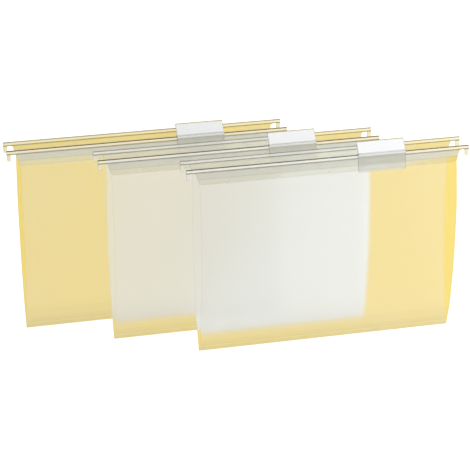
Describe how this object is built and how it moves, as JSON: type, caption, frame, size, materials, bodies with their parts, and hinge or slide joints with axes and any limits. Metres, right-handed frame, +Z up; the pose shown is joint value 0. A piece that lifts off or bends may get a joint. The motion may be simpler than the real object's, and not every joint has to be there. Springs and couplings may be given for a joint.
{
  "type": "hanging file set",
  "caption": "Staggered set of frosted plastic hanging files: each a folded film pocket on two hooked rails, with a clip-on tab that slides along the front rail.",
  "frame": {"origin": "middle of the set's box, at the height of the bottom folds", "axes": "+X to the right along the rails, +Y to the back, +Z up; the files hang one behind the other along Y"},
  "size_m": [0.5414, 0.1714, 0.2551],
  "materials": {
    "film": "frosted translucent polypropylene film, fine matt texture",
    "rail_plastic": "clear glossy moulded plastic",
    "tab_plastic": "clear glossy extruded plastic",
    "label_card": "smooth white card"
  },
  "bodies": {
    "back_file_back_half": {"back_file_back_panel": "film", "back_file_back_rail": "rail_plastic"},
    "back_file_back_strip": {"back_file_back_base_strip": "film"},
    "back_file_front_strip": {"back_file_front_base_strip": "film"},
    "back_file_front_half": {"back_file_front_panel": "film", "back_file_front_rail": "rail_plastic"},
    "back_file_tab": {"back_file_tab_holder": "tab_plastic"},
    "back_file_label": {"back_file_label_insert": "label_card"},
    "middle_file_back_half": {"middle_file_back_panel": "film", "middle_file_back_rail": "rail_plastic"},
    "middle_file_back_strip": {"middle_file_back_base_strip": "film"},
    "middle_file_front_strip": {"middle_file_front_base_strip": "film"},
    "middle_file_front_half": {"middle_file_front_panel": "film", "middle_file_front_rail": "rail_plastic"},
    "middle_file_tab": {"middle_file_tab_holder": "tab_plastic"},
    "middle_file_label": {"middle_file_label_insert": "label_card"},
    "front_file_back_half": {"front_file_back_panel": "film", "front_file_back_rail": "rail_plastic"},
    "front_file_back_strip": {"front_file_back_base_strip": "film"},
    "front_file_front_strip": {"front_file_front_base_strip": "film"},
    "front_file_front_half": {"front_file_front_panel": "film", "front_file_front_rail": "rail_plastic"},
    "front_file_tab": {"front_file_tab_holder": "tab_plastic"},
    "front_file_label": {"front_file_label_insert": "label_card"}
  },
  "joints": [
    {"name": "back_file_back_crease", "type": "hinge", "parent": "back_file_back_half", "child": "back_file_back_strip", "pos_m": [-0.09673, 0.06411, 0.0079], "axis": [1, 0, 0], "range_deg": [-10.5, 1.5]},
    {"name": "back_file_fold", "type": "hinge", "parent": "back_file_back_strip", "child": "back_file_front_strip", "pos_m": [-0.09673, 0.06111, 0.0004], "axis": [1, 0, 0], "range_deg": [-5, 50], "stiffness_Nm_per_rad": 2},
    {"name": "back_file_front_crease", "type": "hinge", "parent": "back_file_front_strip", "child": "back_file_front_half", "pos_m": [-0.09673, 0.05811, 0.0079], "axis": [1, 0, 0], "range_deg": [-10.5, 1.5]},
    {"name": "back_file_tab_slide", "type": "slide", "parent": "back_file_front_half", "child": "back_file_tab", "axis": [1, 0, 0], "range_m": [-0.195, 0.065]},
    {"name": "back_file_label_slide", "type": "slide", "parent": "back_file_tab", "child": "back_file_label", "axis": [1, 0, 0], "range_m": [0, 0.06]},
    {"name": "middle_file_back_crease", "type": "hinge", "parent": "middle_file_back_half", "child": "middle_file_back_strip", "pos_m": [0.0033, 0.00278, 0.0079], "axis": [1, 0, 0], "range_deg": [-10.5, 1.5]},
    {"name": "middle_file_fold", "type": "hinge", "parent": "middle_file_back_strip", "child": "middle_file_front_strip", "pos_m": [0.0033, -0.00022, 0.0004], "axis": [1, 0, 0], "range_deg": [-5, 50], "stiffness_Nm_per_rad": 2},
    {"name": "middle_file_front_crease", "type": "hinge", "parent": "middle_file_front_strip", "child": "middle_file_front_half", "pos_m": [0.0033, -0.00322, 0.0079], "axis": [1, 0, 0], "range_deg": [-10.5, 1.5]},
    {"name": "middle_file_tab_slide", "type": "slide", "parent": "middle_file_front_half", "child": "middle_file_tab", "axis": [1, 0, 0], "range_m": [-0.195, 0.065]},
    {"name": "middle_file_label_slide", "type": "slide", "parent": "middle_file_tab", "child": "middle_file_label", "axis": [1, 0, 0], "range_m": [0, 0.06]},
    {"name": "front_file_back_crease", "type": "hinge", "parent": "front_file_back_half", "child": "front_file_back_strip", "pos_m": [0.09673, -0.05811, 0.0079], "axis": [1, 0, 0], "range_deg": [-10.5, 1.5]},
    {"name": "front_file_fold", "type": "hinge", "parent": "front_file_back_strip", "child": "front_file_front_strip", "pos_m": [0.09673, -0.06111, 0.0004], "axis": [1, 0, 0], "range_deg": [-5, 50], "stiffness_Nm_per_rad": 2},
    {"name": "front_file_front_crease", "type": "hinge", "parent": "front_file_front_strip", "child": "front_file_front_half", "pos_m": [0.09673, -0.06411, 0.0079], "axis": [1, 0, 0], "range_deg": [-10.5, 1.5]},
    {"name": "front_file_tab_slide", "type": "slide", "parent": "front_file_front_half", "child": "front_file_tab", "axis": [1, 0, 0], "range_m": [-0.195, 0.065]},
    {"name": "front_file_label_slide", "type": "slide", "parent": "front_file_tab", "child": "front_file_label", "axis": [1, 0, 0], "range_m": [0, 0.06]},
    {"name": "middle_file_slide", "type": "slide", "parent": "back_file_back_half", "child": "middle_file_back_half", "axis": [0, -1, 0], "range_m": [-0.013, 0.1305]},
    {"name": "front_file_slide", "type": "slide", "parent": "middle_file_back_half", "child": "front_file_back_half", "axis": [0, -1, 0], "range_m": [-0.013, 0.1305]}
  ],
  "couplings": [
    {"joint": "back_file_fold", "follows": "middle_file_slide", "rad_per_m": 6.6667},
    {"joint": "back_file_back_crease", "follows": "middle_file_slide", "rad_per_m": -1.3333},
    {"joint": "back_file_front_crease", "follows": "middle_file_slide", "rad_per_m": -1.3333},
    {"joint": "middle_file_fold", "follows": "front_file_slide", "rad_per_m": 6.6667},
    {"joint": "middle_file_back_crease", "follows": "front_file_slide", "rad_per_m": -1.3333},
    {"joint": "middle_file_front_crease", "follows": "front_file_slide", "rad_per_m": -1.3333},
    {"joint": "front_file_back_crease", "follows": "front_file_fold", "ratio": -0.2},
    {"joint": "front_file_front_crease", "follows": "front_file_fold", "ratio": -0.2}
  ]
}
